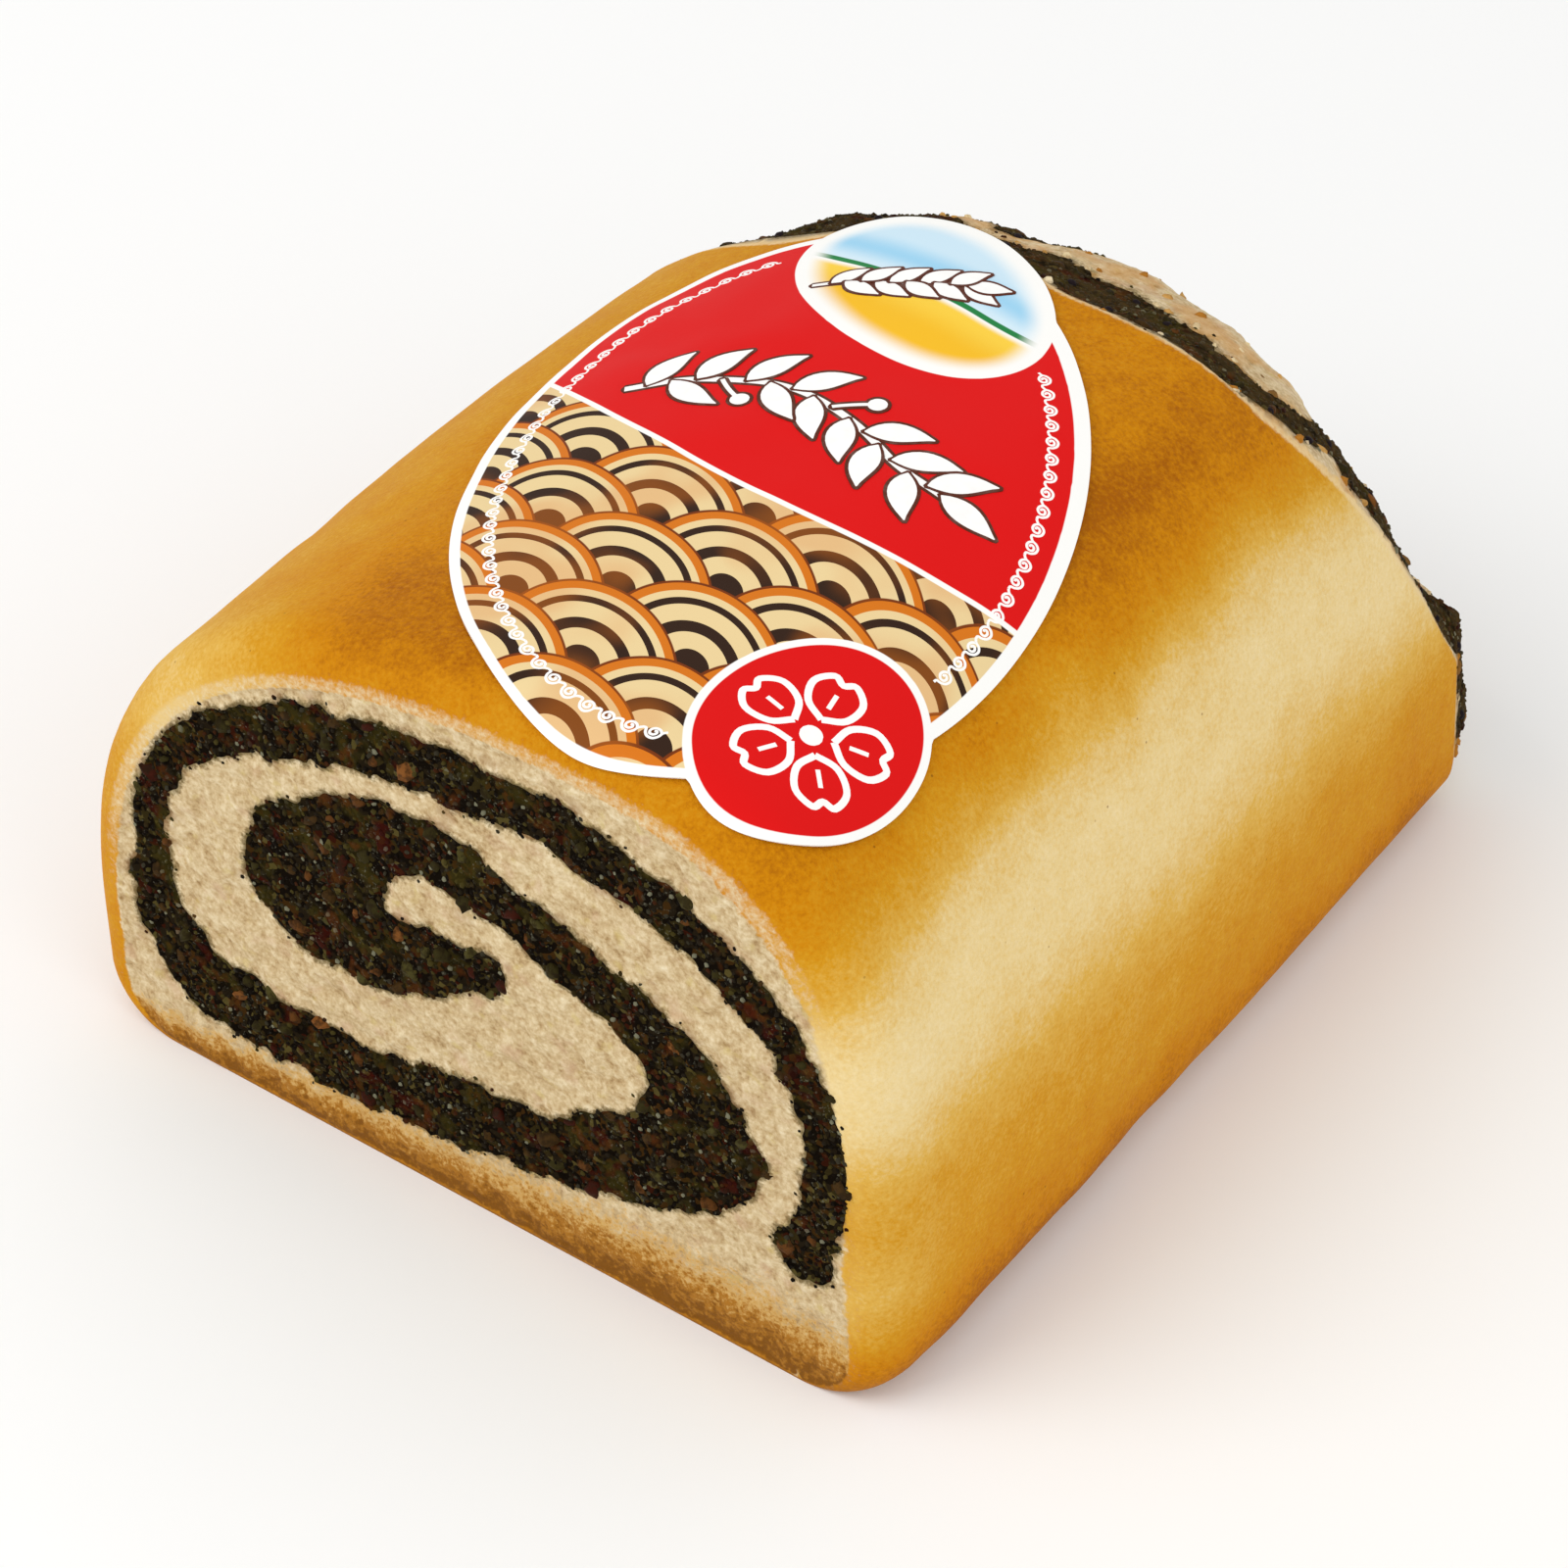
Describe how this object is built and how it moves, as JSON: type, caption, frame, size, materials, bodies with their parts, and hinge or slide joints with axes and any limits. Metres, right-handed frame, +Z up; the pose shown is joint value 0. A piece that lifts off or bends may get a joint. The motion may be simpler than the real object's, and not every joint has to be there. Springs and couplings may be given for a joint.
{
  "type": "poppy seed roll",
  "caption": "Cut length of a baked yeast roll with a poppy seed filling wound up in the crumb, a domed golden crust and a plain oval sticker on top.",
  "frame": {"origin": "on the surface that the roll stands on, under the middle of its box", "axes": "+Z up out of the flat base, +Y from the flat front cut to the bulging back end, +X to the right as seen from the front cut"},
  "size_m": [0.1076, 0.1282, 0.0746],
  "materials": {
    "baked_dough": "baked dough: satin golden crust, matt cream crumb with fine pores on the cut",
    "poppy_filling": "ground poppy seeds and crumbs in a moist dark paste",
    "sticker_paper": "smooth coated paper, satin print with a white border"
  },
  "bodies": {
    "root": {"dough": "baked_dough", "filling": "poppy_filling", "sticker": "sticker_paper"}
  },
  "joints": []
}
